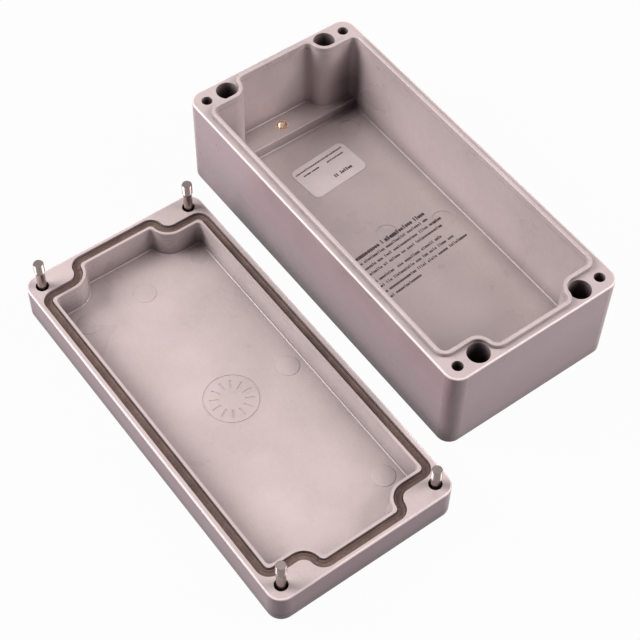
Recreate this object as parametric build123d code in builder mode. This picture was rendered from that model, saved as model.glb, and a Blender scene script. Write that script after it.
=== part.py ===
"""Fibreglass enclosure with its lid taken off and laid beside it, inside up.

Millimetres, +Z up. The origin is the centre of the base's underside, and the long side runs along X.
The base stands open. The lid lies on its outer face on the same surface, with its four captive
screws pointing up through the flange.
"""

import os
from math import atan2, degrees, sqrt

from build123d import *

# The closed box
box_length = 160.0
box_width = 75.0
base_height = 40.5  # underside to the land that meets the lid
lid_height = 14.5  # outer face to the flange that meets the base
corner_radius = 5.5
wall_draft = 0.4  # degrees
base_edge_round = 1.5  # along the underside
lid_edge_round = 1.0  # along the outer face
rim_round = 0.5  # along the land and the flange

# The seal's centre line and what is built around it
seal_inset_side = 3.5  # long side to the centre line
seal_inset_end = 3.2
seal_corner = 3.4
boss_reach = 5.3  # wall-fixing bore to the centre line
tongue_width = 1.6
tongue_height = 1.8
tongue_round = 0.45
groove_width = 3.3
groove_depth = 3.2
lip_width = 1.0
gasket_drop = 1.0  # flange to the gasket's shoulders
gasket_round = 0.5
crease_width = 1.8  # left in the gasket by the tongue
crease_depth = 0.5

# Inside the base
base_floor = 5.2
base_draft = 0.25  # degrees
parting_depth = 2.9  # tongue's top to the step in the cavity's wall
parting_step = 0.1
inner_round = 0.5
ledge_depth = 10.6  # end wall to the ledge's front
ledge_height = 4.9
ledge_round = 0.4
panel_insert_length = 6.0
base_marks = [(1.2, 24.4), (-5.8, 2.7), (-57.4, 23.7)]  # ejector pins on the floor

# Inside the lid
lid_floor = 2.9
lid_draft = 1.5  # degrees
lid_corner = 1.9
lid_round = 0.6
roundel_diameter = 21.0
roundel_line = 0.7
roundel_ticks = 12
tick_length = 3.4
ejector_diameter = 8.6
lid_marks = [(-57.6, 0.6), (-57.6, -24.2), (0, 24.6), (56.6, 24.4)]  # ejector pins on the floor
mark_depth = 0.15

# Wall-fixing holes and lid screws, at each corner
screw_inset = 5.6  # outer sides to the screw's axis
fixing_pitch = 9.1  # screw to wall-fixing bore
fixing_bore = 8.4
fixing_hole = 4.5
fixing_floor = 5.0  # left under the bore
thread_diameter = 4.0
thread_clearance = 0.05  # on the radius, where the screw turns
tapping_diameter = 3.3
insert_diameter = 5.6
insert_chamfer = 0.35
base_screw_hole = 4.2
corner_insert_depth = 6.0  # land to the insert
corner_insert_length = 10.0
corner_relief = 2.5  # hole below the insert
screw_length = 20.8  # under the head
tip_chamfer = 0.5
head_diameter = 7.0
head_height = 2.6
head_round = 0.4
slot_width = 1.0
slot_depth = 1.2
lid_screw_hole = 4.9
recess_diameter = 7.8
recess_depth = 8.2
ring_thickness = 1.2
ring_clearance = 0.06  # on the radius, to the recess and to the shank
screw_float = 4.1  # drop from the seated height

# The film label on the base's floor
label_length = 16.8
label_width = 26.4
label_corner = 2.6
label_thickness = 0.2
label_x = -44.3
label_y = 3.7
label_turn = 4.5  # degrees, laid on by hand

# Where the lid lies
lid_x = 20.3
lid_gap = 12.3  # base's side to the lid's side
dropped_screw = 3  # the screw that has slid down in its recess

half_length = box_length / 2
half_width = box_width / 2
seal_x = half_length - seal_inset_end
seal_y = half_width - seal_inset_side
screw_x = half_length - screw_inset
screw_y = half_width - screw_inset
bore_x = screw_x
bore_y = screw_y - fixing_pitch
pad_x = bore_x - boss_reach
cavity_x = seal_x - tongue_width / 2
ledge_x = cavity_x - ledge_depth
insert_x = cavity_x - ledge_depth / 2
lid_y = -(box_width + lid_gap)
tongue_top = base_height + tongue_height
ledge_top = base_floor + ledge_height
corner_insert_top = base_height - corner_insert_depth
relief_bottom = corner_insert_top - corner_insert_length - corner_relief
seated_head = recess_depth - ring_thickness  # lid's outer face to the underside of a seated head
shank_diameter = thread_diameter - 2 * thread_clearance
lip_edge = -(groove_width / 2 + lip_width)

corners = [(-1, -1), (-1, 1), (1, 1), (1, -1)]

os.makedirs("parts", exist_ok=True)


def seal_face(grow, corner=None, mode=Mode.ADD):
    """Fill the closed outline that runs at the distance grow outside the seal's centre line.

    Each quarter goes round the corner of the long side, along the screw's pad, round the boss of the
    wall-fixing bore and back to the short side. The arcs keep their centres as the outline grows.
    """
    corner = seal_corner + grow if corner is None else corner
    long_side, short_side, pad_side = seal_y + grow, seal_x + grow, pad_x + grow
    boss = boss_reach - grow
    end_x = short_side - corner
    end_y = bore_y - sqrt((boss + corner) ** 2 - (bore_x - end_x) ** 2)
    turn = degrees(atan2(bore_y - end_y, bore_x - end_x))
    corner_x, corner_y = pad_side - corner, long_side - corner
    with BuildLine() as outline:
        Line((0, long_side), (corner_x, long_side))
        CenterArc((corner_x, corner_y), corner, 90, -90)
        Line((pad_side, corner_y), (pad_side, bore_y))
        CenterArc((bore_x, bore_y), boss, 180, turn)
        CenterArc((end_x, end_y), corner, turn, -turn)
        Line((short_side, end_y), (short_side, 0))
        mirror(about=Plane.YZ)
        mirror(about=Plane.XZ)
    make_face(outline.edges(), mode=mode)


def seal_ring(inner, outer):
    """Fill the band between two outlines of the seal."""
    seal_face(outer)
    seal_face(inner, mode=Mode.SUBTRACT)


def edges_at(part, height):
    """The part's edges that lie flat at one height."""
    return part.edges().filter_by_position(Axis.Z, height - 0.001, height + 0.001)


def inside(edges, reach_x, reach_y):
    """Those of the edges whose middle is within a rectangle about the origin."""
    return edges.filter_by(
        lambda edge: abs(edge.center().X) < reach_x and abs(edge.center().Y) < reach_y
    )


# The base: drafted walls, a land and a raised tongue round the mouth, a pad with a screw hole and a
# wall-fixing bore at each corner, and a ledge with a thread insert across each end of the floor
with BuildPart() as base_box:
    with BuildSketch(Plane.XY.offset(base_height)):
        RectangleRounded(box_length, box_width, corner_radius)
    extrude(amount=-base_height, taper=wall_draft)
    fillet(edges_at(base_box, 0), base_edge_round)
    fillet(edges_at(base_box, base_height), rim_round)
    with BuildSketch(Plane.XY.offset(base_height)):
        seal_ring(-tongue_width / 2, tongue_width / 2)
    extrude(amount=tongue_height)
    with BuildSketch(Plane.XY.offset(tongue_top)):
        seal_face(-tongue_width / 2)
    extrude(amount=-parting_depth, mode=Mode.SUBTRACT)
    with BuildSketch(Plane.XY.offset(tongue_top - parting_depth)):
        seal_face(-tongue_width / 2 - parting_step)
    extrude(amount=-(tongue_top - parting_depth - base_floor), taper=base_draft, mode=Mode.SUBTRACT)
    with BuildSketch(Plane.XY.offset(base_floor)):
        with Locations(((ledge_x + seal_x) / 2, 0), (-(ledge_x + seal_x) / 2, 0)):
            Rectangle(seal_x - ledge_x, 2 * seal_y)
    extrude(amount=ledge_height)
    fillet(edges_at(base_box, tongue_top), tongue_round)
    fillet(inside(edges_at(base_box, base_floor), seal_x, seal_y), inner_round)
    fronts = edges_at(base_box, ledge_top).filter_by(
        lambda edge: abs(abs(edge.center().X) - ledge_x) < 0.01
    )
    fillet(fronts, ledge_round)
    backs = inside(edges_at(base_box, ledge_top), seal_x, seal_y)
    fillet(backs.filter_by(lambda edge: abs(edge.center().X) > ledge_x + ledge_round), ledge_round)

    # Screw hole, thread insert's pocket and relief below it, at each corner
    with BuildSketch(Plane.XY.offset(base_height)):
        with GridLocations(2 * screw_x, 2 * screw_y, 2, 2):
            Circle(base_screw_hole / 2)
    extrude(amount=relief_bottom - base_height, mode=Mode.SUBTRACT)
    with BuildSketch(Plane.XY.offset(corner_insert_top)):
        with GridLocations(2 * screw_x, 2 * screw_y, 2, 2):
            Circle(insert_diameter / 2)
    extrude(amount=-corner_insert_length, mode=Mode.SUBTRACT)
    # Wall-fixing bores from above, with a plain hole through what is left under them
    with BuildSketch(Plane.XY.offset(base_height)):
        with GridLocations(2 * bore_x, 2 * bore_y, 2, 2):
            Circle(fixing_bore / 2)
    extrude(amount=fixing_floor - base_height, mode=Mode.SUBTRACT)
    with BuildSketch(Plane.XY.offset(fixing_floor)):
        with GridLocations(2 * bore_x, 2 * bore_y, 2, 2):
            Circle(fixing_hole / 2)
    extrude(amount=-fixing_floor, mode=Mode.SUBTRACT)
    # Pocket of the thread insert in each ledge
    with BuildSketch(Plane.XY.offset(ledge_top)):
        with Locations((insert_x, 0), (-insert_x, 0)):
            Circle(insert_diameter / 2)
    extrude(amount=-panel_insert_length, mode=Mode.SUBTRACT)
    # Shallow round marks of the ejector pins on the floor
    with BuildSketch(Plane.XY.offset(base_floor)):
        with Locations(*base_marks):
            Circle(ejector_diameter / 2)
    extrude(amount=-mark_depth, mode=Mode.SUBTRACT)
base_box.part.label = "base_box"
export_step(base_box.part, "parts/base_box.step")


def thread_insert(name, x, y, top, length):
    """A turned brass insert with a tapped bore, chamfered at both mouths."""
    with BuildPart() as insert:
        with BuildSketch(Plane(origin=(x, y, top - length))):
            Circle(insert_diameter / 2)
            Circle(tapping_diameter / 2, mode=Mode.SUBTRACT)
        extrude(amount=length)
        bore = insert.edges().filter_by(GeomType.CIRCLE).sort_by(SortBy.RADIUS)[:2]
        chamfer(bore, insert_chamfer)
    insert.part.label = name
    export_step(insert.part, f"parts/{name}.step")


for number, (x, y) in enumerate(corners, start=1):
    thread_insert(
        f"corner_insert_{number}",
        x * screw_x,
        y * screw_y,
        corner_insert_top,
        corner_insert_length,
    )
for number, x in enumerate((-1, 1), start=1):
    thread_insert(f"panel_insert_{number}", x * insert_x, 0, ledge_top, panel_insert_length)

with BuildPart() as label:
    with BuildSketch(Plane(origin=(label_x, label_y, base_floor))):
        RectangleRounded(label_length, label_width, label_corner, rotation=label_turn)
    extrude(amount=label_thickness)
label.part.label = "label"
export_step(label.part, "parts/label.step")

# The lid, inside up: a shallow tray with a flat flange, the gasket's groove in it, a thin lip
# between the groove and the cavity, and a stepped hole for each screw
lid_plane = Plane(origin=(lid_x, lid_y, 0))
with BuildPart() as lid:
    with BuildSketch(lid_plane.offset(lid_height)):
        RectangleRounded(box_length, box_width, corner_radius)
    extrude(amount=-lid_height, taper=wall_draft)
    fillet(edges_at(lid, 0), lid_edge_round)
    fillet(edges_at(lid, lid_height), rim_round)
    with BuildSketch(lid_plane.offset(lid_height)):
        seal_face(lip_edge, corner=lid_corner)
    extrude(amount=-(lid_height - lid_floor), taper=lid_draft, mode=Mode.SUBTRACT)
    fillet(edges_at(lid, lid_floor), lid_round)
    with BuildSketch(lid_plane.offset(lid_height)):
        seal_ring(-groove_width / 2, groove_width / 2)
    extrude(amount=-groove_depth, mode=Mode.SUBTRACT)
    with BuildSketch(lid_plane.offset(lid_height)):
        with GridLocations(2 * screw_x, 2 * screw_y, 2, 2):
            Circle(lid_screw_hole / 2)
    extrude(amount=-lid_height, mode=Mode.SUBTRACT)
    with BuildSketch(lid_plane):
        with GridLocations(2 * screw_x, 2 * screw_y, 2, 2):
            Circle(recess_diameter / 2)
    extrude(amount=recess_depth, mode=Mode.SUBTRACT)
    # A plain dial of short strokes at the middle, and the ejector pins' round marks
    with BuildSketch(lid_plane.offset(lid_floor)):
        Circle(roundel_diameter / 2)
        Circle(roundel_diameter / 2 - roundel_line, mode=Mode.SUBTRACT)
        with PolarLocations(roundel_diameter / 2 - roundel_line - tick_length, roundel_ticks):
            Rectangle(tick_length, roundel_line)
        with Locations(*lid_marks):
            Circle(ejector_diameter / 2)
    extrude(amount=-mark_depth, mode=Mode.SUBTRACT)
lid.part.label = "lid"
export_step(lid.part, "parts/lid.step")

# The foamed gasket fills the groove's width, with the crease that the tongue has pressed into it
with BuildPart() as gasket:
    with BuildSketch(lid_plane.offset(lid_height - groove_depth)):
        seal_ring(-groove_width / 2, groove_width / 2)
    extrude(amount=groove_depth - gasket_drop)
    fillet(edges_at(gasket, lid_height - gasket_drop), gasket_round)
    with BuildSketch(lid_plane.offset(lid_height - gasket_drop)):
        seal_ring(-crease_width / 2, crease_width / 2)
    extrude(amount=-crease_depth, mode=Mode.SUBTRACT)
gasket.part.label = "gasket"
export_step(gasket.part, "parts/gasket.step")


def screw_ring(name, x, y, head):
    """A rubber ring under a screw's head. It grips the recess and carries the screw."""
    with BuildPart() as ring:
        with BuildSketch(Plane(origin=(x, y, head))):
            Circle(recess_diameter / 2 - ring_clearance)
            Circle(shank_diameter / 2 + ring_clearance, mode=Mode.SUBTRACT)
        extrude(amount=ring_thickness)
    ring.part.label = name
    export_step(ring.part, f"parts/{name}.step")


def lid_screw(name, x, y, head):
    """A captive screw, head down: slotted head and a shank threaded to its chamfered tip."""
    with BuildPart() as screw:
        with BuildSketch(Plane(origin=(x, y, head))):
            Circle(head_diameter / 2)
        extrude(amount=-head_height)
        fillet(edges_at(screw, head - head_height), head_round)
        with BuildSketch(Plane(origin=(x, y, head - head_height))):
            Rectangle(2 * head_diameter, slot_width)
        extrude(amount=slot_depth, mode=Mode.SUBTRACT)
        with BuildSketch(Plane(origin=(x, y, head))):
            Circle(shank_diameter / 2)
        extrude(amount=screw_length)
        chamfer(edges_at(screw, head + screw_length), tip_chamfer)
    screw.part.label = name
    export_step(screw.part, f"parts/{name}.step")


for number, (x, y) in enumerate(corners, start=1):
    head = seated_head - (screw_float if number == dropped_screw else 0)
    place = (lid_x + x * screw_x, lid_y + y * screw_y)
    screw_ring(f"screw_ring_{number}", *place, head)
    lid_screw(f"lid_screw_{number}", *place, head)
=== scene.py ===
"""The looks of an opened fibreglass enclosure: moulded polyester, foam gasket, steel and brass.

Lengths are millimetres, and mm turns them into the scene's metres. The frame is the part's own: its
origin is the centre of the base's underside, and the long side runs along X.
"""

from math import atan2, ceil, cos, pi, radians, sin, sqrt

import bmesh
import bpy
from mathutils import Matrix, Vector


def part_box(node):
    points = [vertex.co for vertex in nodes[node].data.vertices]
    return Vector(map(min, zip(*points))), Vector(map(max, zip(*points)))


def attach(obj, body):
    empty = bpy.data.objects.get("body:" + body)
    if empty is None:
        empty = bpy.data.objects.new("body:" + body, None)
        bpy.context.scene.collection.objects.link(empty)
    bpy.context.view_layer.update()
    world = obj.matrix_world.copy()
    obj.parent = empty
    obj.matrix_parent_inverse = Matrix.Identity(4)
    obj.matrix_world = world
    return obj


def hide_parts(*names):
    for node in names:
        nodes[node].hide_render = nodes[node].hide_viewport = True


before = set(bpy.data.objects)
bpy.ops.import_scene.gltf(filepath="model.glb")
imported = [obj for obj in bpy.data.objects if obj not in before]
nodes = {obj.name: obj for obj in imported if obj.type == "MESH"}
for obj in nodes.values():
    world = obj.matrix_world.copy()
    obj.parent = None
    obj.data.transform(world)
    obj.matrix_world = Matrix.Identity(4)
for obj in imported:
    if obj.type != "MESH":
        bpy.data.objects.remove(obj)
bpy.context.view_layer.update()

mm = 0.001


def span(node):
    """A node's lowest and highest corners in millimetres."""
    low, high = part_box(node)
    return Vector(low) / mm, Vector(high) / mm


def middle(node):
    """The middle of a node's box in millimetres."""
    low, high = span(node)
    return (low + high) / 2


# Sizes that the pieces share with the part
box_length = 160.0
box_width = 75.0
base_height = 40.5  # underside to the land
lid_height = 14.5  # outer face to the flange
lid_floor = 2.9
corner_radius = 5.5
seal_inset_side = 3.5
seal_inset_end = 3.2
seal_corner = 3.4
boss_reach = 5.3  # wall-fixing bore to the seal's centre line
groove_width = 3.3
screw_inset = 5.6
fixing_pitch = 9.1  # screw to wall-fixing bore
head_height = 2.6
thread_diameter = 3.9  # over the thread
tapping_diameter = 3.3
mouth_chamfer = 0.35
ejector_diameter = 8.6
mark_depth = 0.15

seal_x = box_length / 2 - seal_inset_end
seal_y = box_width / 2 - seal_inset_side
bore_x = box_length / 2 - screw_inset
bore_y = box_width / 2 - screw_inset - fixing_pitch
pad_x = bore_x - boss_reach
lid_place = middle("lid")
gasket_bottom, gasket_top = span("gasket")[0].z, span("gasket")[1].z
label_place = middle("label")
base_floor, label_top = span("label")[0].z, span("label")[1].z


def colour(code):
    """An sRGB hex colour as linear RGBA."""
    values = [int(code[i : i + 2], 16) / 255 for i in (1, 3, 5)]
    return [v / 12.92 if v <= 0.04045 else ((v + 0.055) / 1.055) ** 2.4 for v in values] + [1.0]


def add(tree, kind, inputs=None, **settings):
    """Adds a node, sets its properties and fills or links its inputs."""
    node = tree.nodes.new(kind)
    for name, value in settings.items():
        setattr(node, name, value)
    for key, value in (inputs or {}).items():
        if isinstance(value, bpy.types.NodeSocket):
            tree.links.new(value, node.inputs[key])
        else:
            node.inputs[key].default_value = value
    return node


def maths(tree, operation, *values):
    """One Math node's result."""
    return add(tree, "ShaderNodeMath", dict(enumerate(values)), operation=operation).outputs[0]


def product(tree, *values):
    """Several values multiplied."""
    result = values[0]
    for value in values[1:]:
        result = maths(tree, "MULTIPLY", result, value)
    return result


def vector_maths(tree, operation, *values, output=0):
    """One Vector Math node's result."""
    node = add(tree, "ShaderNodeVectorMath", dict(enumerate(values)), operation=operation)
    return node.outputs[output]


def ramp(tree, value, low, high, to_low=0.0, to_high=1.0, smooth=False):
    """A value carried from one range to another and held at its ends."""
    node = add(tree, "ShaderNodeMapRange", {"Value": value, "From Min": low, "From Max": high,
                                            "To Min": to_low, "To Max": to_high},
               interpolation_type="SMOOTHSTEP" if smooth else "LINEAR")
    return node.outputs["Result"]


def blend(tree, factor, first, second, kind="MIX"):
    """Two colours mixed."""
    node = add(tree, "ShaderNodeMix", data_type="RGBA", blend_type=kind)
    for socket, value in ((0, factor), (6, first), (7, second)):
        if isinstance(value, bpy.types.NodeSocket):
            tree.links.new(value, node.inputs[socket])
        else:
            node.inputs[socket].default_value = value
    return node.outputs[2]


def noise(tree, place, size, detail=2.0, roughness=0.5):
    """Noise whose features are about size millimetres across."""
    return add(tree, "ShaderNodeTexNoise", {"Vector": place, "Scale": 1 / (size * mm), "Detail": detail,
                                            "Roughness": roughness}).outputs[0]


def relief(tree, height, depth, strength=1.0, normal=None):
    """A bump from a height of 0 to 1 that stands for depth millimetres."""
    inputs = {"Height": height, "Strength": strength, "Distance": depth * mm}
    if normal is not None:
        inputs["Normal"] = normal
    return add(tree, "ShaderNodeBump", inputs).outputs[0]


def new_material(name):
    """An empty material and its tree, with an output and one Principled shader."""
    material = bpy.data.materials.new(name)
    material.use_nodes = True
    tree = material.node_tree
    tree.nodes.clear()
    shader = add(tree, "ShaderNodeBsdfPrincipled")
    add(tree, "ShaderNodeOutputMaterial", {"Surface": shader.outputs[0]})
    return material, tree, shader


def skin_depth(tree, aside):
    """How far a point lies outside the box's rounded outline, in millimetres, seen from above."""
    tall = 1000  # so that height never counts
    core = [(box_length / 2 - corner_radius) * mm, (box_width / 2 - corner_radius) * mm, tall * mm]
    beyond = vector_maths(tree, "SUBTRACT", aside, core)
    outside = vector_maths(tree, "LENGTH", vector_maths(tree, "MAXIMUM", beyond, [0, 0, 0]), output=1)
    return maths(tree, "SUBTRACT", maths(tree, "MULTIPLY", outside, 1 / mm), corner_radius)


def painted_rim_highlight(tree, depth, level, rim):
    """A painted highlight along the rim's outer edge, where the two halves meet: 0 to 1."""
    reach, whole_inwards, whole_down = 0.75, 0.4, 0.45
    return product(tree, ramp(tree, depth, -reach, -whole_inwards),
                   ramp(tree, level, rim - reach, rim - whole_down))


def painted_corner_shade(tree, aside, level, inner, rim, pocket_shade_strength):
    """Painted shade, 0 to 1, where a surface sees little open air and low in the corner pockets."""
    shelter_reach = 16
    pocket_x = (pad_x - 9) * mm, (pad_x - 4) * mm
    pocket_y = (bore_y - 4) * mm, (bore_y + 5) * mm
    # Ambient occlusion sets where the shade is painted
    air = add(tree, "ShaderNodeAmbientOcclusion", {"Distance": shelter_reach * mm}, samples=4)
    painted_shade = ramp(tree, air.outputs["AO"], 0.15, 0.6, 0.95, 0.0)
    parts = add(tree, "ShaderNodeSeparateXYZ", {0: aside}).outputs
    low_down = ramp(tree, level, 0.5 * rim, 0.88 * rim, pocket_shade_strength, 0.0)
    bare = maths(tree, "SUBTRACT", 1.0, painted_shade)
    # Painted shade low in the corner pockets, where the bosses and walls keep the lamps off
    pocket = product(tree, ramp(tree, parts["X"], *pocket_x), ramp(tree, parts["Y"], *pocket_y),
                     low_down, inner, bare)
    return maths(tree, "ADD", painted_shade, pocket)


def painted_fold_shade(tree, level, floor):
    """Painted shade at the height of the round between floor and wall, 0 to 1, which dims the round's
    light line. It knows only the height, so it also leaves a thin dark line round the outer sides."""
    start, whole, end, gone = 0.16, 0.24, 0.5, 0.8
    return product(tree, ramp(tree, level, floor + start, floor + whole),
                   ramp(tree, level, floor + end, floor + gone, 0.5, 0.0))


def tool_lines(tree, aside, level, inner):
    """Level lines that the mould's cutter left on the walls round the four bosses: 0 to 1."""
    line_pitch = 2.1
    whole_reach, gone_reach = 9 * mm, 11 * mm
    away = vector_maths(tree, "SUBTRACT", aside, [bore_x * mm, bore_y * mm, 0])
    away = vector_maths(tree, "MULTIPLY", away, [1, 1, 0])
    distance = vector_maths(tree, "LENGTH", away, output=1)
    near = ramp(tree, distance, whole_reach, gone_reach, 1.0, 0.0)
    phase = maths(tree, "FRACT", maths(tree, "DIVIDE", level, line_pitch))
    return product(tree, ramp(tree, phase, 0.0, 0.3), near, inner)


def moulded_polyester(name, centre, rim, pocket_shade_strength, light, dark, skin, floor=None):
    """Compression-moulded glass-fibre polyester: a pinkish grey with soft clouds where the paste
    flowed and chopped strands printing faintly through the satin skin. On it are painted shade that
    makes the outer face darker and cooler and its foot darker still, a painted highlight on the rim's
    edge, and painted shade that darkens bores, tight corners and the corner pockets. Where a floor's
    height is given, painted shade darkens the floor's round too, and the mould's cutter shows on the
    corner walls. rim is the height of the mouth, and grime, 0 to 1, is how dark the painted shade in
    the corner pockets is."""
    cloud_size, strand_size, grit_size, peel_size = 26, 2.2, 0.9, 0.7
    material, tree, shader = new_material(name)
    place = add(tree, "ShaderNodeTexCoord").outputs["Object"]
    local = vector_maths(tree, "SUBTRACT", place, [centre.x * mm, centre.y * mm, 0])
    aside = vector_maths(tree, "ABSOLUTE", local)
    level = maths(tree, "DIVIDE", add(tree, "ShaderNodeSeparateXYZ", {0: place}).outputs["Z"], mm)
    depth = skin_depth(tree, aside)
    outer = ramp(tree, depth, -0.6, -0.3)
    inner = maths(tree, "SUBTRACT", 1.0, outer)
    clouds = noise(tree, place, cloud_size, 3.0, 0.55)
    tone = blend(tree, ramp(tree, clouds, 0.35, 0.65), colour(dark), colour(light))
    # Painted shade: the outer face is painted darker and cooler than the land and the inside, and darker
    # still towards the foot
    tone = blend(tree, outer, tone, colour(skin), "MULTIPLY")
    painted_foot_shade = product(tree, outer, ramp(tree, level, 2.0, 0.7 * rim, 0.7, 0.0))
    tone = blend(tree, painted_foot_shade, tone, colour("#cac1c6"), "MULTIPLY")
    # Painted highlight: a pale line along the rim's outer edge
    tone = blend(tree, product(tree, painted_rim_highlight(tree, depth, level, rim), 0.8), tone, colour("#f2e9ea"))
    # Strands: short stretched flecks, a little lighter or darker than the rest
    stretched = add(tree, "ShaderNodeMapping", {"Vector": place, "Rotation": (0, 0, 0.5),
                                                "Scale": (1.0, 4.0, 1.0)}).outputs[0]
    strands = noise(tree, stretched, strand_size, 1.0)
    grain = maths(tree, "ADD", noise(tree, place, grit_size, 2.0), strands)
    tone = blend(tree, 1.0, tone, ramp(tree, grain, 0.7, 1.3, 0.97, 1.03), "MULTIPLY")
    painted_shade = painted_corner_shade(tree, aside, level, inner, rim, pocket_shade_strength)
    # Where a floor is given, painted shade darkens its round as well
    if floor is not None:
        painted_shade = maths(tree, "MAXIMUM", painted_shade, painted_fold_shade(tree, level, floor))
    # Painted shade: a deep red-brown where the surface sees little open air, in the corner pockets and
    # in the floor's round
    tree.links.new(blend(tree, painted_shade, tone, colour("#2c1a1a")), shader.inputs["Base Color"])
    tree.links.new(ramp(tree, clouds, 0.3, 0.7, 0.25, 0.35), shader.inputs["Roughness"])
    # Less sheen where the shade is painted
    tree.links.new(ramp(tree, painted_shade, 0.0, 1.0, 0.5, 0.15), shader.inputs["Specular IOR Level"])
    shader.inputs["IOR"].default_value = 1.5
    peel = relief(tree, noise(tree, place, peel_size, 2.0), 0.03, 0.3)
    normal = relief(tree, strands, 0.05, 0.3, peel)
    if floor is not None:
        normal = relief(tree, tool_lines(tree, aside, level, inner), 0.12, 0.9, normal)
    tree.links.new(normal, shader.inputs["Normal"])
    return material


def foamed_gasket():
    """Foamed polyurethane: a dull brown-grey skin full of fine closed bubbles."""
    material, tree, shader = new_material("Foamed polyurethane")
    place = add(tree, "ShaderNodeTexCoord").outputs["Object"]
    bubbles = add(tree, "ShaderNodeTexVoronoi", {"Vector": place, "Scale": 1 / (0.45 * mm)}).outputs[0]
    clouds = noise(tree, place, 9, 3.0)
    tone = blend(tree, ramp(tree, clouds, 0.35, 0.65), colour("#55443f"), colour("#6f5b54"))
    tone = blend(tree, ramp(tree, bubbles, 0.0, 0.6, 0.6, 0.0), tone, colour("#33272a"))
    tree.links.new(tone, shader.inputs["Base Color"])
    tree.links.new(relief(tree, bubbles, 0.15, 0.8), shader.inputs["Normal"])
    shader.inputs["Roughness"].default_value = 0.75
    return material


def turned_metal(name, code, roughness, pitch):
    """Turned bar: fine rings from the tool round a vertical axis, and a slightly uneven polish."""
    material, tree, shader = new_material(name)
    place = add(tree, "ShaderNodeTexCoord").outputs["Object"]
    rings = add(tree, "ShaderNodeTexWave", {"Vector": place, "Scale": 1 / (pitch * mm * 2 * pi),
                                            "Distortion": 0.4, "Detail": 1.0},
                bands_direction="Z").outputs[1]
    polish = noise(tree, place, 1.6, 2.0)
    tree.links.new(ramp(tree, polish, 0.3, 0.7, roughness - 0.06, roughness + 0.06),
                   shader.inputs["Roughness"])
    tree.links.new(relief(tree, rings, 0.01, 0.35), shader.inputs["Normal"])
    shader.inputs["Base Color"].default_value = colour(code)
    shader.inputs["Metallic"].default_value = 1.0
    return material


def matt_rubber():
    """Moulded rubber: near black with a dusty bloom."""
    material, tree, shader = new_material("Moulded rubber")
    place = add(tree, "ShaderNodeTexCoord").outputs["Object"]
    bloom = noise(tree, place, 1.2, 3.0)
    tone = blend(tree, ramp(tree, bloom, 0.4, 0.7), colour("#231f20"), colour("#383233"))
    tree.links.new(tone, shader.inputs["Base Color"])
    tree.links.new(relief(tree, bloom, 0.03, 0.4), shader.inputs["Normal"])
    shader.inputs["Roughness"].default_value = 0.65
    return material


def label_film():
    """Printed film: a paler grey than the moulding, satin, with a faint orange peel."""
    material, tree, shader = new_material("Label film")
    place = add(tree, "ShaderNodeTexCoord").outputs["Object"]
    clouds = noise(tree, place, 7, 2.0)
    tone = blend(tree, ramp(tree, clouds, 0.3, 0.7), colour("#d6cdce"), colour("#ddd5d6"))
    tree.links.new(tone, shader.inputs["Base Color"])
    tree.links.new(relief(tree, noise(tree, place, 0.8), 0.01, 0.4), shader.inputs["Normal"])
    shader.inputs["Roughness"].default_value = 0.4
    return material


def ink():
    """Screen ink: a dull dark grey, a little uneven in tone."""
    material, tree, shader = new_material("Screen ink")
    place = add(tree, "ShaderNodeTexCoord").outputs["Object"]
    cover = noise(tree, place, 0.5, 2.0)
    tone = blend(tree, ramp(tree, cover, 0.35, 0.7), colour("#2b2325"), colour("#463b3e"))
    tree.links.new(tone, shader.inputs["Base Color"])
    shader.inputs["Roughness"].default_value = 0.6
    return material


# The last colour is the outer face's painted shade, and the number before the colours sets the corner
# pockets' painted shade
base_polyester = moulded_polyester("Moulded polyester base", Vector((0, 0, 0)), base_height, 0.62,
                                   "#bcb1b2", "#b2a7a8", "#e3d4db")
lid_polyester = moulded_polyester("Moulded polyester lid", lid_place, lid_height, 0.2,
                                  "#bdb2b3", "#b3a8a9", "#b2909f", lid_floor)
foam = foamed_gasket()
rubber = matt_rubber()
stainless = turned_metal("Turned stainless steel", "#a1958f", 0.22, 0.12)
# Painted shade: the thread's steel is darker than the shank's, which dims the glints on the thread
rolled = turned_metal("Rolled stainless thread", "#857a77", 0.28, 0.12)
brass = turned_metal("Turned brass", "#d3b8a4", 0.26, 0.15)
film = label_film()
screen_ink = ink()

finishes = {"base_box": base_polyester, "lid": lid_polyester, "gasket": foam, "label": film}
for name, node in nodes.items():
    node.data.materials.clear()
    if "insert" in name:
        node.data.materials.append(brass)
    elif "ring" in name:
        node.data.materials.append(rubber)
    else:
        node.data.materials.append(finishes.get(name, stainless))


def piece(name, mesh, body, replaced=()):
    """A finished mesh as a piece of the scene that rides on a body."""
    thing = bpy.data.objects.new(name, mesh)
    bpy.context.scene.collection.objects.link(thing)
    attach(thing, body)
    if replaced:
        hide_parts(*replaced)
    return thing


def node_group(name, sockets):
    """A Geometry Nodes group with a geometry input and named inputs, and its two end nodes."""
    group = bpy.data.node_groups.new(name, "GeometryNodeTree")
    group.interface.new_socket("Geometry", in_out="INPUT", socket_type="NodeSocketGeometry")
    for label, kind in sockets:
        group.interface.new_socket(label, in_out="INPUT", socket_type=kind)
    group.interface.new_socket("Geometry", in_out="OUTPUT", socket_type="NodeSocketGeometry")
    return group, add(group, "NodeGroupInput"), add(group, "NodeGroupOutput")


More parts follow.
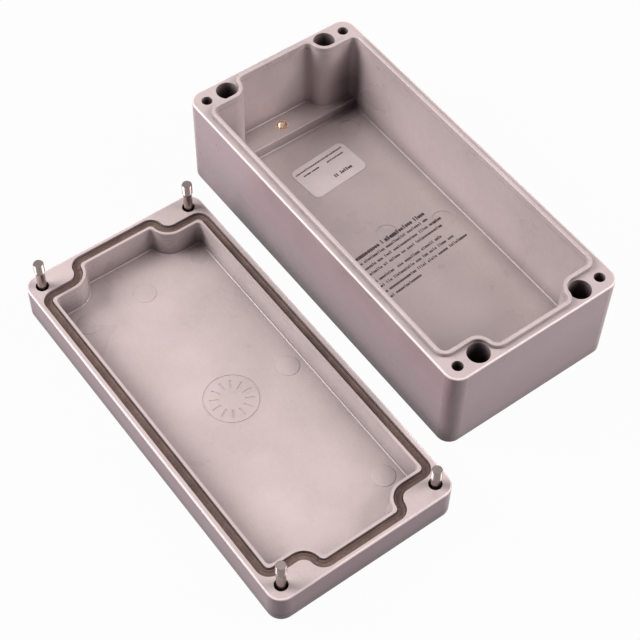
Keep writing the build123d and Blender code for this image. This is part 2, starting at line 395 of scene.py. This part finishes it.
def grown(group, seed_mesh, values):
    """The plain mesh that a Geometry Nodes group makes of a seed mesh."""
    seed = bpy.data.objects.new("seed", seed_mesh)
    bpy.context.scene.collection.objects.link(seed)
    modifier = seed.modifiers.new("grow", "NODES")
    modifier.node_group = group
    for socket in group.interface.items_tree:
        if socket.in_out == "INPUT" and socket.name in values:
            modifier[socket.identifier] = values[socket.name]
    depsgraph = bpy.context.evaluated_depsgraph_get()
    mesh = bpy.data.meshes.new_from_object(seed.evaluated_get(depsgraph), depsgraph=depsgraph)
    seed.modifiers.remove(modifier)
    bpy.data.objects.remove(seed)
    mesh.materials.clear()
    mesh.materials.append(values["Material"])
    mesh.polygons.foreach_set("material_index", [0] * len(mesh.polygons))
    return mesh


# The gasket: foam poured along the groove, pressed by the tongue into a shallow crease
def arc(centre, radius, start, turn, step=0.35):
    """Points along an arc, about step millimetres apart. Angles are degrees."""
    count = max(2, ceil(radius * radians(abs(turn)) / step))
    angles = [radians(start + turn * i / count) for i in range(count + 1)]
    return [(centre[0] + radius * cos(a), centre[1] + radius * sin(a)) for a in angles]


def seal_path():
    """The seal's centre line: one quarter's arcs, mirrored round the four corners."""
    end_x = seal_x - seal_corner
    end_y = bore_y - sqrt((boss_reach + seal_corner) ** 2 - (bore_x - end_x) ** 2)
    turn = atan2(bore_y - end_y, bore_x - end_x) * 180 / pi
    quarter = arc((pad_x - seal_corner, seal_y - seal_corner), seal_corner, 90, -90)
    quarter += arc((bore_x, bore_y), boss_reach, 180, turn)
    quarter += arc((end_x, end_y), seal_corner, turn, -turn)
    path = quarter + [(x, -y) for x, y in reversed(quarter)]
    path += [(-x, -y) for x, y in quarter] + [(-x, y) for x, y in reversed(quarter)]
    return [(lid_place.x + x, lid_place.y + y) for x, y in path]


def loop_mesh(path, height):
    """A closed loop of edges."""
    mesh = bpy.data.meshes.new("loop")
    points = [(x * mm, y * mm, height * mm) for x, y in path]
    count = len(points)
    mesh.from_pydata(points, [(i, (i + 1) % count) for i in range(count)], [])
    return mesh


def bead_group():
    """Sweeps a poured bead along a loop: full width, round shoulders, a crease at the middle."""
    group, start, end = node_group("Poured bead", [
        ("Width", "NodeSocketFloat"), ("Height", "NodeSocketFloat"), ("Shoulder", "NodeSocketFloat"),
        ("Crease Width", "NodeSocketFloat"), ("Crease Depth", "NodeSocketFloat"),
        ("Unevenness", "NodeSocketFloat"), ("Material", "NodeSocketMaterial")])
    given = start.outputs
    route = add(group, "GeometryNodeMeshToCurve", {"Mesh": given["Geometry"]}).outputs[0]
    route = add(group, "GeometryNodeSetCurveNormal", {"Curve": route}, mode="Z_UP").outputs[0]
    line = add(group, "GeometryNodeMeshLine", {"Count": 33, "Start Location": (-1, 0, 0),
                                               "Offset": (1, 0, 0)}, mode="END_POINTS")
    across = add(group, "GeometryNodeInputPosition").outputs[0]
    side = add(group, "ShaderNodeSeparateXYZ", {0: across}).outputs["X"]
    # Height over the width: a rounded shoulder at each wall, less the crease
    edge = maths(group, "SUBTRACT", 1.0, maths(group, "ABSOLUTE", side))
    reach = maths(group, "DIVIDE", maths(group, "MULTIPLY", given["Width"], 0.5), given["Shoulder"])
    near = maths(group, "MINIMUM", maths(group, "MULTIPLY", edge, reach), 1.0)
    dip = maths(group, "SUBTRACT", 1.0, near)
    fall = maths(group, "SUBTRACT", 1.0,
                 maths(group, "SQRT", maths(group, "SUBTRACT", 1.0, maths(group, "MULTIPLY", dip, dip))))
    shoulder = maths(group, "MULTIPLY", fall, given["Shoulder"])
    width_ratio = maths(group, "DIVIDE", given["Crease Width"], given["Width"])
    press = ramp(group, maths(group, "DIVIDE", maths(group, "ABSOLUTE", side), width_ratio),
                 0.55, 1.15, 1.0, 0.0, smooth=True)
    crease = maths(group, "MULTIPLY", press, given["Crease Depth"])
    top = maths(group, "SUBTRACT", maths(group, "SUBTRACT", given["Height"], shoulder), crease)
    half = maths(group, "MULTIPLY", side, maths(group, "MULTIPLY", given["Width"], 0.5))
    up = maths(group, "MULTIPLY", top, -1.0)
    point = add(group, "ShaderNodeCombineXYZ", {"X": half, "Y": up}).outputs[0]
    section = add(group, "GeometryNodeMeshToCurve", {"Mesh": line.outputs[0]}).outputs[0]
    section = add(group, "GeometryNodeSetPosition", {"Geometry": section, "Position": point}).outputs[0]
    bead = add(group, "GeometryNodeCurveToMesh", {"Curve": route, "Profile Curve": section}).outputs[0]
    wander = add(group, "ShaderNodeTexNoise", {"Scale": 1 / (4 * mm), "Detail": 3.0}).outputs[0]
    lift = maths(group, "MULTIPLY", maths(group, "SUBTRACT", wander, 0.6), given["Unevenness"])
    offset = add(group, "ShaderNodeCombineXYZ", {"Z": lift}).outputs[0]
    bead = add(group, "GeometryNodeSetPosition", {"Geometry": bead, "Offset": offset}).outputs[0]
    bead = add(group, "GeometryNodeSetShadeSmooth", {"Geometry": bead}).outputs[0]
    bead = add(group, "GeometryNodeRealizeInstances", {"Geometry": bead}).outputs[0]
    done = add(group, "GeometryNodeSetMaterial", {"Geometry": bead, "Material": given["Material"]})
    group.links.new(done.outputs[0], end.inputs[0])
    return group


bead_shoulder = 0.45
bead_crease_width = 1.7
bead_crease_depth = 0.45
bead_unevenness = 0.12
bead_drop = 0.05  # keeps the uneven skin under the solid gasket's top
bead_mesh = grown(bead_group(), loop_mesh(seal_path(), gasket_bottom), {
    "Width": groove_width * mm, "Height": (gasket_top - gasket_bottom - bead_drop) * mm,
    "Shoulder": bead_shoulder * mm, "Crease Width": bead_crease_width * mm,
    "Crease Depth": bead_crease_depth * mm, "Unevenness": bead_unevenness * mm, "Material": foam})
piece("gasket_bead", bead_mesh, "lid", ["gasket"])


# Turned forms are built ring by ring round a vertical axis
def add_ring(form, centre, height, sectors, radius_at):
    """A ring of vertices. radius_at gives the radius for a share of a whole turn."""
    ring = []
    for i in range(sectors):
        turn = i / sectors
        r = radius_at(turn)
        spot = (centre[0] + r * cos(2 * pi * turn), centre[1] + r * sin(2 * pi * turn), height)
        ring.append(form.verts.new([c * mm for c in spot]))
    return ring


def add_band(form, first, second):
    """The band of faces between two rings."""
    count = len(first)
    faces = []
    for i in range(count):
        j = (i + 1) % count
        faces.append(form.faces.new((first[i], first[j], second[j], second[i])))
    return faces


def finished_mesh(form, name, materials, crease_angle=35):
    """The form as a smooth mesh with creases where faces meet at more than an angle in degrees."""
    mesh = bpy.data.meshes.new(name)
    form.to_mesh(mesh)
    form.free()
    for material in materials:
        mesh.materials.append(material)
    mesh.polygons.foreach_set("use_smooth", [True] * len(mesh.polygons))
    mesh.set_sharp_from_angle(angle=radians(crease_angle))
    return mesh


# Captive screws: the part's own slotted head on a smooth shank, thinner than the part's, with a
# rolled thread at the tip
shank_diameter = 3.4
tip_chamfer = 0.3
thread_pitch = 0.7
thread_length = 5.3
thread_height = 0.3
thread_step = thread_pitch / 8  # between the rings that make the thread
weld_distance = 0.002
head_tolerance = 0.01


def thread_profile(phase):
    """Depth below the crest, 0 to 1, over one pitch: flat crest, straight flanks, narrow root."""
    crest, root = 0.16, 0.3
    away = abs(phase - round(phase)) * 2
    return min(1.0, max(0.0, (away - crest) / (1 - crest - root)))


def screw_mesh(name, sectors=56):
    """A screw as one mesh. The head comes from the part, and the shank is turned by formula."""
    low, high = span(name)
    centre = (low + high) / 2
    under_head = low.z + head_height
    form = bmesh.new()
    form.from_mesh(nodes[name].data)
    bmesh.ops.remove_doubles(form, verts=form.verts, dist=weld_distance * mm)
    solid_shank = [v for v in form.verts if v.co.z / mm > under_head + head_tolerance]
    bmesh.ops.delete(form, geom=solid_shank, context="VERTS")
    shank, crest = shank_diameter / 2, thread_diameter / 2
    start = high.z - thread_length
    rows = ceil(thread_length / thread_step)
    smooth_rings = [add_ring(form, centre, z, sectors, lambda turn: shank)
                    for z in (under_head, (under_head + start) / 2)]
    thread_rings = []
    for row in range(rows + 1):
        z = start + thread_length * row / rows
        run_in = min(1.0, (z - start) / thread_pitch)
        tip = crest - max(0.0, z - (high.z - tip_chamfer))

        def radius_at(turn):
            depth = thread_height * thread_profile((z - start) / thread_pitch - turn)
            return min(shank + (crest - shank - depth) * run_in, tip)

        thread_rings.append(add_ring(form, centre, z, sectors, radius_at))
    add_band(form, *smooth_rings)
    add_band(form, smooth_rings[-1], thread_rings[0])
    for lower, upper in zip(thread_rings, thread_rings[1:]):
        for face in add_band(form, lower, upper):
            face.material_index = 1
    form.faces.new(thread_rings[-1]).material_index = 1
    return finished_mesh(form, name + "_turned", [stainless, rolled])


for name in [n for n in nodes if n.startswith("lid_screw")]:
    number = name[-1]
    piece(f"turned_screw_{number}", screw_mesh(name), f"screw_{number}", [name])


# Brass inserts: a plain turned sleeve, chamfered at both mouths, with a tapped thread in its bore
def insert_mesh(name, sectors=44):
    """A tapped sleeve as one closed mesh, its thread cut outwards from the bore."""
    low, high = span(name)
    centre = (low + high) / 2
    outer, bore = (high.x - low.x) / 2, tapping_diameter / 2
    mouth = bore + mouth_chamfer
    first, last = high.z - mouth_chamfer, low.z + mouth_chamfer
    rows = ceil((first - last) / thread_step)
    form = bmesh.new()
    rings = [add_ring(form, centre, high.z, sectors, lambda turn: outer),
             add_ring(form, centre, high.z, sectors, lambda turn: mouth)]
    for row in range(rows + 1):
        z = first + (last - first) * row / rows

        def radius_at(turn):
            return bore + thread_height * thread_profile(z / thread_pitch - turn)

        rings.append(add_ring(form, centre, z, sectors, radius_at))
    rings += [add_ring(form, centre, low.z, sectors, lambda turn: mouth),
              add_ring(form, centre, low.z, sectors, lambda turn: outer)]
    for upper, lower in zip(rings, rings[1:] + rings[:1]):
        add_band(form, upper, lower)
    bmesh.ops.recalc_face_normals(form, faces=form.faces)
    return finished_mesh(form, name + "_tapped", [brass])


for name in [n for n in nodes if "insert" in n]:
    piece("tapped_" + name, insert_mesh(name), "base", [name])


# The mould's ejector pins stood a little short, so each left a flat pad proud of the lid's floor.
# Places are from the lid's middle
pad_height = 0.14
pad_places = [(-57.6, 0.6), (-57.6, -24.2), (0, 24.6), (56.6, 24.4)]


def pad_mesh(sectors=72):
    """Four low discs that fill the pins' marks and stand proud, with a rounded edge."""
    radius = ejector_diameter / 2
    profile = [(-mark_depth, radius), (0.5 * pad_height, radius),
               (0.85 * pad_height, radius - 0.05), (pad_height, radius - 0.14)]
    form = bmesh.new()
    for x, y in pad_places:
        centre = (lid_place.x + x, lid_place.y + y)
        rings = [add_ring(form, centre, lid_floor + z, sectors, lambda turn: r) for z, r in profile]
        for lower, upper in zip(rings, rings[1:]):
            add_band(form, lower, upper)
        form.faces.new(rings[-1])
        form.faces.new(rings[0][::-1])
    return finished_mesh(form, "ejector_pads", [lid_polyester], 40)


piece("ejector_pads", pad_mesh(), "lid")


# Print: the wording on the base's floor and on the label is replaced by rows of plain marks
def mark_group():
    """Sets an ink mark on each seed point: a tall bar, a pair of short bars or a small ring."""
    group, start, end = node_group("Ink marks", [
        ("Width", "NodeSocketFloat"), ("Height", "NodeSocketFloat"), ("Stroke", "NodeSocketFloat"),
        ("Thickness", "NodeSocketFloat"), ("Turn", "NodeSocketFloat"), ("Seed", "NodeSocketInt"),
        ("Material", "NodeSocketMaterial")])
    given = start.outputs
    low = maths(group, "MULTIPLY", given["Height"], 0.72)
    sink = maths(group, "MULTIPLY", maths(group, "SUBTRACT", given["Height"], low), 0.5)

    def bar(height, across, along):
        size = add(group, "ShaderNodeCombineXYZ", {"X": height, "Y": given["Stroke"],
                                                   "Z": given["Thickness"]})
        block = add(group, "GeometryNodeMeshCube", {"Size": size.outputs[0]}).outputs[0]
        shift = add(group, "ShaderNodeCombineXYZ", {"X": along, "Y": across}).outputs[0]
        return add(group, "GeometryNodeTransform", {"Geometry": block, "Translation": shift}).outputs[0]

    side = maths(group, "MULTIPLY", maths(group, "SUBTRACT", given["Width"], given["Stroke"]), 0.5)
    tall = bar(given["Height"], 0.0, 0.0)
    pair = add(group, "GeometryNodeJoinGeometry")
    for sign in (-1.0, 1.0):
        group.links.new(bar(low, maths(group, "MULTIPLY", side, sign), sink), pair.inputs[0])
    # The ring is a short upright tube, squeezed to the mark's width
    hoop = add(group, "GeometryNodeCurvePrimitiveCircle", {"Resolution": 14}).outputs[0]
    hoop = add(group, "GeometryNodeSetCurveNormal", {"Curve": hoop}, mode="Z_UP").outputs[0]
    reach = maths(group, "MULTIPLY", maths(group, "SUBTRACT", low, given["Stroke"]), 0.5)
    oval = add(group, "ShaderNodeCombineXYZ", {"X": reach, "Y": side, "Z": 1.0}).outputs[0]
    hoop = add(group, "GeometryNodeTransform", {"Geometry": hoop, "Scale": oval}).outputs[0]
    section = add(group, "GeometryNodeCurvePrimitiveQuadrilateral", {
        "Width": given["Stroke"], "Height": given["Thickness"]}).outputs[0]
    hoop = add(group, "GeometryNodeCurveToMesh", {"Curve": hoop, "Profile Curve": section}).outputs[0]
    drop = add(group, "ShaderNodeCombineXYZ", {"X": sink}).outputs[0]
    ring = add(group, "GeometryNodeTransform", {"Geometry": hoop, "Translation": drop}).outputs[0]

    marks = add(group, "GeometryNodeGeometryToInstance")
    for mark in (tall, pair.outputs[0], ring, ring):
        group.links.new(mark, marks.inputs[0])
    # Sockets 4, 5 and 8 are the whole-number lowest, highest and seed, and 2 is the result
    pick = add(group, "FunctionNodeRandomValue", {4: 0, 5: 3, 8: given["Seed"]},
               data_type="INT").outputs[2]
    turn = add(group, "ShaderNodeCombineXYZ", {"Z": given["Turn"]}).outputs[0]
    placed = add(group, "GeometryNodeInstanceOnPoints", {
        "Points": given["Geometry"], "Instance": marks.outputs[0], "Pick Instance": True,
        "Instance Index": pick, "Rotation": turn}).outputs[0]
    placed = add(group, "GeometryNodeRealizeInstances", {"Geometry": placed}).outputs[0]
    done = add(group, "GeometryNodeSetMaterial", {"Geometry": placed, "Material": given["Material"]})
    group.links.new(done.outputs[0], end.inputs[0])
    return group


marks = mark_group()


def row_points(x, y, words, turn, pitch, gap):
    """Places of the marks in one row of print, from the lengths of its words."""
    points, along = [], 0.0
    for length in words:
        count = round(length / pitch)
        for i in range(count):
            step = along + length * (i + 0.5) / count
            points.append((x - sin(turn) * step, y + cos(turn) * step))
        along += length + gap
    return points


ink_thickness = 0.03


def print_mesh(points, height, width, tall, stroke, turn, seed):
    """Ink marks at the given points of a surface."""
    mesh = bpy.data.meshes.new("places")
    mid = height + ink_thickness / 2
    mesh.from_pydata([(x * mm, y * mm, mid * mm) for x, y in points], [], [])
    return grown(marks, mesh, {
        "Width": width * mm, "Height": tall * mm, "Stroke": stroke * mm,
        "Thickness": ink_thickness * mm, "Turn": turn, "Seed": seed, "Material": screen_ink})


# A heavy heading and two paragraphs on the floor. Each row holds the lengths of its words
print_turn = radians(4.9)
print_x, print_y = -2.1, -21.5
row_pitch = 2.9
paragraph_gap = 0.95
word_gap = 0.9
heading_gap = 1.0
letter_pitch = 0.86
heading_pitch = 1.2
heading = [5.6, 11.9, 1.1, 13.9, 5.4]
paragraphs = [
    [[7.8, 10.2, 10.0, 7.3, 2.2], [12.2, 2.6, 3.7, 12.3, 4.6, 5.9], [13.0, 1.9, 5.3, 2.0, 3.8, 13.3]],
    [[7.5, 7.4, 0, 2.9, 7.6, 6.3, 3.1], [8.7, 2.9, 10.4, 2.6, 2.6, 3.6, 4.1, 3.0],
     [7.8, 13.5, 4.4, 4.6, 4.8, 9.1], [8.8, 12.8]]]
heading_points = row_points(print_x, print_y, heading, print_turn, heading_pitch, heading_gap)
text_points, row_x = [], print_x + row_pitch
for paragraph in paragraphs:
    for words in paragraph:
        text_points += row_points(row_x, print_y, words, print_turn, letter_pitch, word_gap)
        row_x += row_pitch
    row_x += paragraph_gap
heading_mesh = print_mesh(heading_points, base_floor, 1.15, 2.0, 0.52, print_turn, 1)
piece("floor_print_heading", heading_mesh, "base")
text_mesh = print_mesh(text_points, base_floor, 0.8, 1.4, 0.34, print_turn, 2)
piece("floor_print", text_mesh, "base")

# The label keeps its rows only, and the place of its mark is bare. Each row starts at a distance
# from the label's middle and holds the lengths of its words
label_turn = radians(5)
label_pitch, label_gap = 0.55, 0.5
label_rows = [(-4.9, -12.6, [23.8]), (-2.9, -10.1, [3.7, 3.6]), (-3.7, 1.6, [8.5])]
bold_row = (4.0, -0.3, [1.9, 5.9])
bold_pitch, bold_gap = 0.95, 1.1


def label_points(row, pitch, gap):
    """Places of the marks in one of the label's rows."""
    x, y, words = row
    return row_points(label_place.x + x, label_place.y + y, words, label_turn, pitch, gap)


small_points = [point for row in label_rows for point in label_points(row, label_pitch, label_gap)]
small_mesh = print_mesh(small_points, label_top, 0.5, 0.95, 0.26, label_turn, 3)
piece("label_print", small_mesh, "base")
bold_points = label_points(bold_row, bold_pitch, bold_gap)
bold_mesh = print_mesh(bold_points, label_top, 0.95, 1.7, 0.55, label_turn, 4)
piece("label_print_bold", bold_mesh, "base")


def direct_ray(tree):
    """1 for rays of the camera, mirrors and clear bodies, which see a thing for what it is."""
    ray = add(tree, "ShaderNodeLightPath").outputs
    seen = maths(tree, "MAXIMUM", ray["Is Camera Ray"], ray["Is Glossy Ray"])
    return maths(tree, "MAXIMUM", seen, ray["Is Transmission Ray"])


# Floor: a pale sheet that the camera sees nearly white, with only a trace of the object's shadow
floor_half = 3.0  # metres
floor_drop = 0.05
floor_whiteness = 0.97
floor_mesh = bpy.data.meshes.new("floor")
floor_mesh.from_pydata([(-floor_half, -floor_half, 0), (floor_half, -floor_half, 0),
                        (floor_half, floor_half, 0), (-floor_half, floor_half, 0)], [], [(0, 1, 2, 3)])
floor = bpy.data.objects.new("floor", floor_mesh)
bpy.context.scene.collection.objects.link(floor)
floor.location.z = -floor_drop * mm
paper = bpy.data.materials.new("White paper")
paper.use_nodes = True
tree = paper.node_tree
tree.nodes.clear()
matt = add(tree, "ShaderNodeBsdfDiffuse", {"Color": colour("#9a9599")})
glow = add(tree, "ShaderNodeEmission", {"Color": (1, 1, 1, 1), "Strength": 1.0})
seen = maths(tree, "MULTIPLY", direct_ray(tree), floor_whiteness)
mixed = add(tree, "ShaderNodeMixShader", {0: seen, 1: matt.outputs[0], 2: glow.outputs[0]})
add(tree, "ShaderNodeOutputMaterial", {"Surface": mixed.outputs[0]})
floor_mesh.materials.append(paper)

# World: black to soft light, and white where the camera, a mirror or a clear body sees it
world = bpy.data.worlds.new("Pale studio")
bpy.context.scene.world = world
world.use_nodes = True
tree = world.node_tree
tree.nodes.clear()
room = blend(tree, direct_ray(tree), colour("#000000"), colour("#ffffff"))
background = add(tree, "ShaderNodeBackground", {"Color": room, "Strength": 1.0})
add(tree, "ShaderNodeOutputWorld", {"Surface": background.outputs[0]})


# Lamps and camera are placed in metres
def lamp(name, position, size, power, tint):
    """A square soft box, turned to the middle of the two halves."""
    light = bpy.data.lights.new(name, "AREA")
    light.size = size
    light.energy = power
    light.color = tint
    lamp_object = bpy.data.objects.new(name, light)
    bpy.context.scene.collection.objects.link(lamp_object)
    lamp_object.location = position
    halves_middle = Vector((0.01, -0.045, 0))
    direction = halves_middle - Vector(position)
    lamp_object.rotation_euler = direction.to_track_quat("-Z", "Y").to_euler()


lamp("left soft box", (-0.49, -0.65, 0.62), 0.6, 13.2, (1, 0.93, 0.92))
lamp("right soft box", (0.52, 0.60, 0.62), 0.6, 10.2, (1, 0.90, 0.9))
lamp("overhead", (0.0, 0.0, 1.1), 0.6, 1.8, (1, 0.95, 0.85))

# Camera: the photograph's own view, with a long lens from above the near end
picture_width = 640  # pixels
focal_length = 1669.44  # pixels
camera_place = Vector((0.296037, -0.262101, 0.500524))
right = Vector((0.594394, 0.804016, 0.015957))
down = Vector((0.656617, -0.473778, -0.586845))
forward = Vector((-0.464273, 0.359295, -0.809542))
camera_data = bpy.data.cameras.new("camera")
camera_data.sensor_width = 36.0
camera_data.lens = camera_data.sensor_width * focal_length / picture_width
camera_data.clip_start = 0.01
camera = bpy.data.objects.new("camera", camera_data)
bpy.context.scene.collection.objects.link(camera)
axes = Matrix((right, -down, -forward)).transposed().to_4x4()
camera.matrix_world = Matrix.Translation(camera_place) @ axes
bpy.context.scene.camera = camera
bpy.context.scene.view_settings.view_transform = "Standard"
